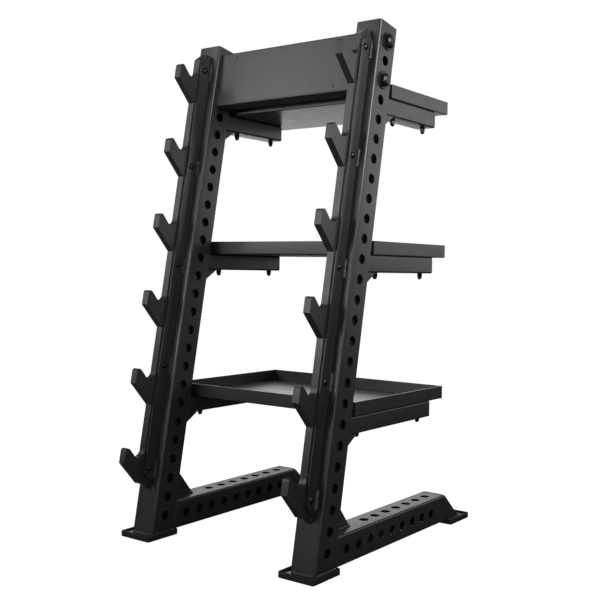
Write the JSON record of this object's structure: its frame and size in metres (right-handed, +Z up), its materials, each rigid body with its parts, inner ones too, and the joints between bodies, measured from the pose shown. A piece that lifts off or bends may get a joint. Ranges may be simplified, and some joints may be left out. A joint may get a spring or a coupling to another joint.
{
  "type": "dumbbell rack",
  "caption": "Leaning steel rack on two braced legs, with hooked bar holders up the front and lipped shelf trays behind for dumbbells.",
  "frame": {"origin": "on the floor, at the centre of the overall length and width", "axes": "+Z up, +Y towards the back, where the shelves are, +X to the right seen from the front"},
  "size_m": [0.648, 0.7872, 1.3366],
  "materials": {
    "black_powder_coat": "satin, finely textured",
    "hook_polymer": "satin",
    "rubber": "matt",
    "black_fasteners": "black oxide, satin"
  },
  "bodies": {
    "root": {"upright_left": "black_powder_coat", "upright_right": "black_powder_coat", "upright_cap_left": "black_powder_coat", "upright_cap_right": "black_powder_coat", "base_leg_left": "black_powder_coat", "base_leg_right": "black_powder_coat", "leg_gusset_left": "black_powder_coat", "leg_gusset_right": "black_powder_coat", "leg_end_bracket_left": "black_powder_coat", "leg_end_bracket_right": "black_powder_coat", "front_foot_plate_left": "black_powder_coat", "front_foot_plate_right": "black_powder_coat", "rear_foot_plate_left": "black_powder_coat", "rear_foot_plate_right": "black_powder_coat", "front_rubber_boot_left": "rubber", "front_rubber_boot_right": "rubber", "rear_rubber_boot_left": "rubber", "rear_rubber_boot_right": "rubber", "hook_plate_left": "hook_polymer", "hook_plate_right": "hook_polymer", "hook_rail_left": "black_powder_coat", "hook_rail_right": "black_powder_coat", "rail_welds_left": "black_powder_coat", "rail_welds_right": "black_powder_coat", "rail_screws_left": "black_fasteners", "rail_screws_right": "black_fasteners", "rail_nuts_left": "black_fasteners", "rail_nuts_right": "black_fasteners", "header_channel": "black_powder_coat", "header_end_plate_left": "black_powder_coat", "header_end_plate_right": "black_powder_coat", "header_sign_plate": "black_powder_coat", "sign_rivets": "black_fasteners", "header_bolts_left": "black_fasteners", "header_bolts_right": "black_fasteners", "header_washers": "black_fasteners", "header_nuts_left": "black_fasteners", "header_nuts_right": "black_fasteners", "tray_floor_top": "black_powder_coat", "tray_floor_middle": "black_powder_coat", "tray_floor_bottom": "black_powder_coat", "tray_lips_top": "black_powder_coat", "tray_lips_middle": "black_powder_coat", "tray_lips_bottom": "black_powder_coat", "shelf_arm_top_left": "black_powder_coat", "shelf_arm_top_right": "black_powder_coat", "shelf_arm_middle_left": "black_powder_coat", "shelf_arm_middle_right": "black_powder_coat", "shelf_arm_bottom_left": "black_powder_coat", "shelf_arm_bottom_right": "black_powder_coat", "arm_end_plates": "black_powder_coat", "arm_gussets_top": "black_powder_coat", "arm_gussets_middle": "black_powder_coat", "arm_gussets_bottom": "black_powder_coat", "tray_bolts": "black_fasteners", "tray_dome_nuts": "black_fasteners"}
  },
  "joints": []
}
